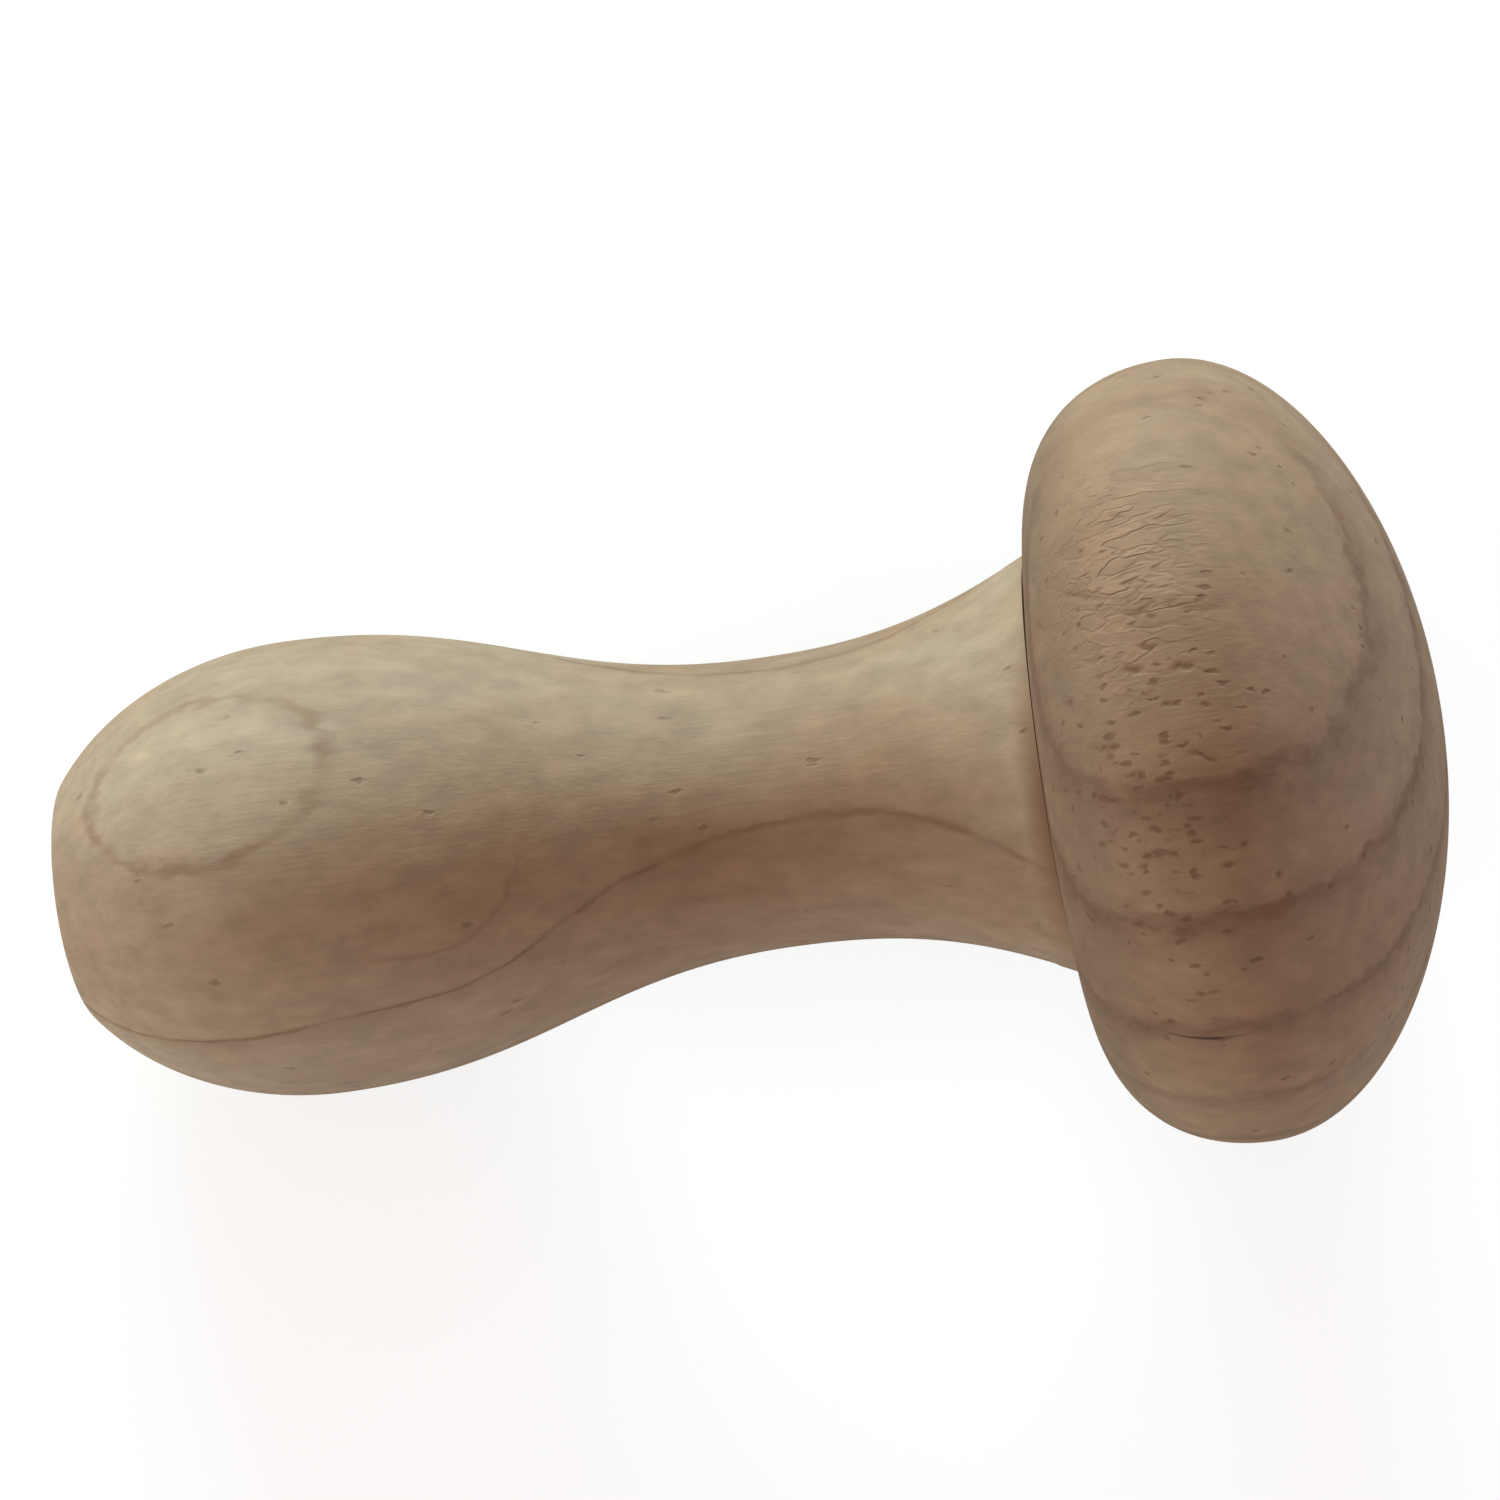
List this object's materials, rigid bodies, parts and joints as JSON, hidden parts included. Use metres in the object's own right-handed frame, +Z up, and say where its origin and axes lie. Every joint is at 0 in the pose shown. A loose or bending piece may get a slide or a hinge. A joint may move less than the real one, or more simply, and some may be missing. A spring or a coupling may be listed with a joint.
{
  "type": "wooden mallet",
  "caption": "Small turned wooden mallet: a bulged grip with a waist and flare, and a mushroom-shaped head with a domed striking face.",
  "frame": {"origin": "on the bench, under the middle of the mallet's box as it lies on its side", "axes": "+Z up; +X along the mallet from butt to head, level; the turned axis lies in the XZ plane and rises towards the head by about 9.7 degrees"},
  "size_m": [0.1308, 0.0734, 0.0728],
  "materials": {
    "handle_wood": "pale close-grained hardwood, turned and left bare, matt",
    "head_wood": "warmer hardwood with open pores, turned and left bare, matt",
    "wedge_wood": "sawn hardwood",
    "set_glue": "dark set wood glue"
  },
  "bodies": {
    "root": {"handle": "handle_wood", "head": "head_wood", "tenon_wedge": "wedge_wood", "glue_line": "set_glue"}
  },
  "joints": []
}
